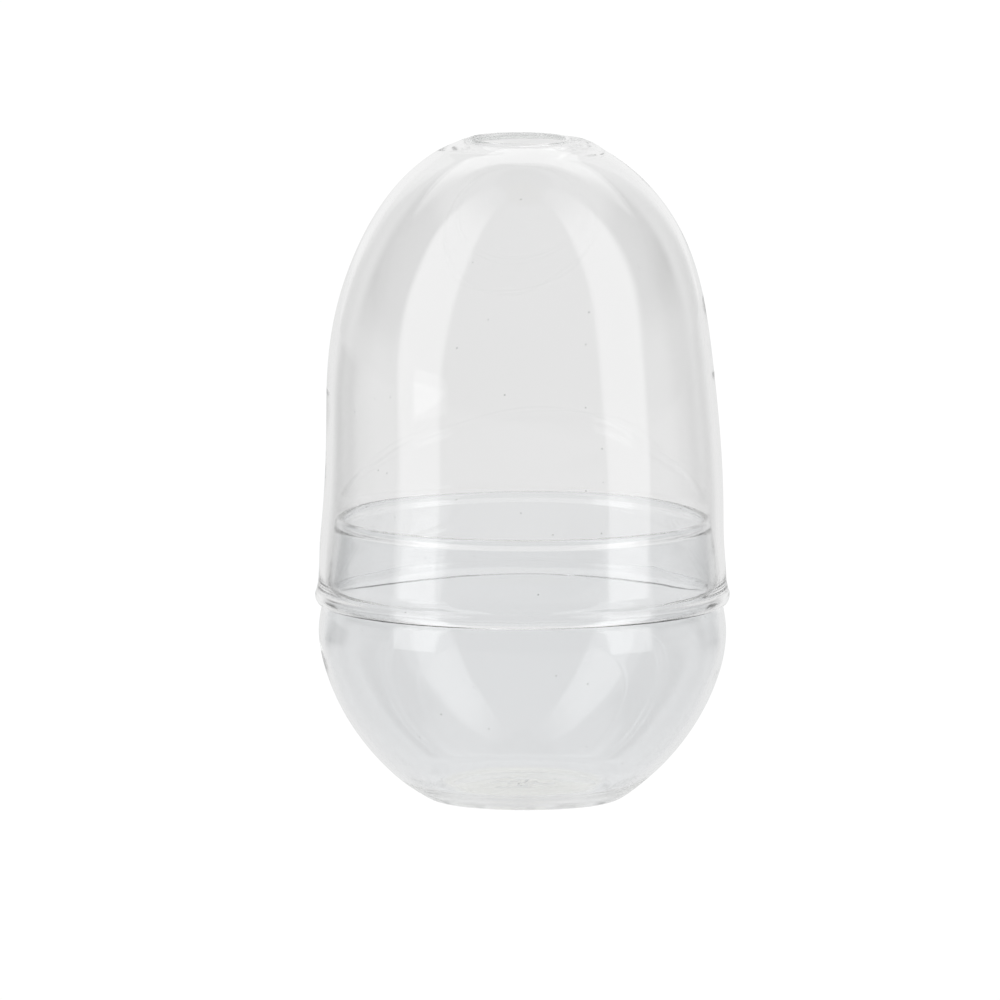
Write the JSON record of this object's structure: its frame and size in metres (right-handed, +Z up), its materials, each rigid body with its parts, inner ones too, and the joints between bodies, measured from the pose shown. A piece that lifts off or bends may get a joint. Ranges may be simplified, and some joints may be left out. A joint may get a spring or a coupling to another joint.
{
  "type": "two-piece glass propagation dome",
  "caption": "Round-bottomed clear glass bowl with a collar, covered by a tall clear glass dome with a vent at its top, for growing seedlings and cuttings in moist air.",
  "frame": {"origin": "centre of the bowl's flat foot, on the plane it rests on", "axes": "+Z up along the turning axis of both pieces, through the vent; the shape is the same all round, so +X is the viewer's right and +Y points away from the viewer"},
  "size_m": [0.15, 0.15, 0.2408],
  "materials": {
    "bowl_glass": "clear blown glass, fire-polished rim",
    "dome_glass": "clear blown glass, fire-polished rim and vent lip"
  },
  "bodies": {
    "bowl": {"glass_bowl": "bowl_glass"},
    "dome": {"glass_dome": "dome_glass"}
  },
  "joints": [
    {"name": "dome_lift", "type": "slide", "parent": "bowl", "child": "dome", "axis": [0, 0, 1], "range_m": [0, 0.1]}
  ]
}
